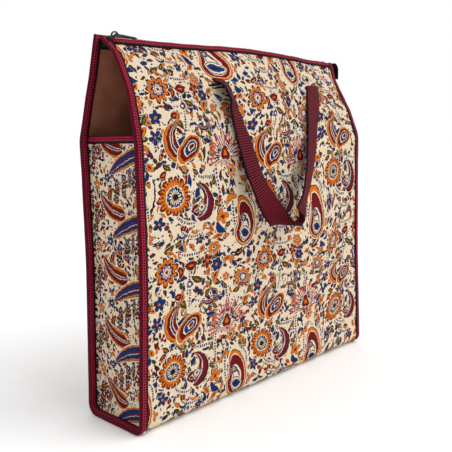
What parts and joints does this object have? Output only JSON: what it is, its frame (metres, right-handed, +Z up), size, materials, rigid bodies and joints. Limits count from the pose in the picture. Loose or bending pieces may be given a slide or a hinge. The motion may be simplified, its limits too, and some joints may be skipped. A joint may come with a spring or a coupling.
{
  "type": "handbag",
  "caption": "Tall printed-cloth shopper with bound seams, low end gussets, a zip along the narrow top and two webbing handles.",
  "frame": {"origin": "middle of the bag's base, on the surface it stands on", "axes": "+Z up to the zip, +X along the bag's width towards the loose end of the zip, +Y to the back; the pictured front faces -Y"},
  "size_m": [0.4, 0.163, 0.4009],
  "materials": {
    "printed_cloth": "block printed cotton, matt",
    "border_print_cloth": "block printed cotton, matt",
    "lining_cloth": "plain woven, matt",
    "binding_tape": "ribbed woven tape with a dark edge",
    "webbing": "ribbed webbing with dark edges",
    "zip_tape": "fine herringbone tape",
    "zip_coil": "satin",
    "zip_metal": "satin nickel plate"
  },
  "bodies": {
    "bag": {"body_panel": "printed_cloth", "body_lining": "lining_cloth", "left_end_panel": "border_print_cloth", "right_end_panel": "border_print_cloth", "left_end_lining": "lining_cloth", "right_end_lining": "lining_cloth", "left_rim_binding": "binding_tape", "right_rim_binding": "binding_tape", "left_end_top_binding": "binding_tape", "right_end_top_binding": "binding_tape", "front_top_binding": "binding_tape", "back_top_binding": "binding_tape", "zip_front_tape": "zip_tape", "zip_back_tape": "zip_tape", "zip_front_coil": "zip_coil", "zip_back_coil": "zip_coil", "zip_top_stop": "zip_metal", "zip_bottom_stop": "zip_metal"},
    "zip_slider": {"zip_slider": "zip_metal"},
    "zip_pull": {"zip_pull": "zip_metal"},
    "front_handle": {"front_handle": "webbing"},
    "back_handle": {"back_handle": "webbing"}
  },
  "joints": [
    {"name": "zip_slide", "type": "slide", "parent": "bag", "child": "zip_slider", "axis": [1, 0, 0], "range_m": [0, 0.343]},
    {"name": "pull_swing", "type": "hinge", "parent": "zip_slider", "child": "zip_pull", "pos_m": [-0.1711, 0.008, 0.3977], "axis": [0, -1, 0], "range_deg": [0, 150]},
    {"name": "front_handle_swing", "type": "hinge", "parent": "bag", "child": "front_handle", "pos_m": [0.036, -0.02014, 0.35758], "axis": [-1, 0, 0], "range_deg": [0, 165]},
    {"name": "back_handle_swing", "type": "hinge", "parent": "bag", "child": "back_handle", "pos_m": [0.036, 0.03009, 0.35738], "axis": [1, 0, 0], "range_deg": [0, 165]}
  ]
}
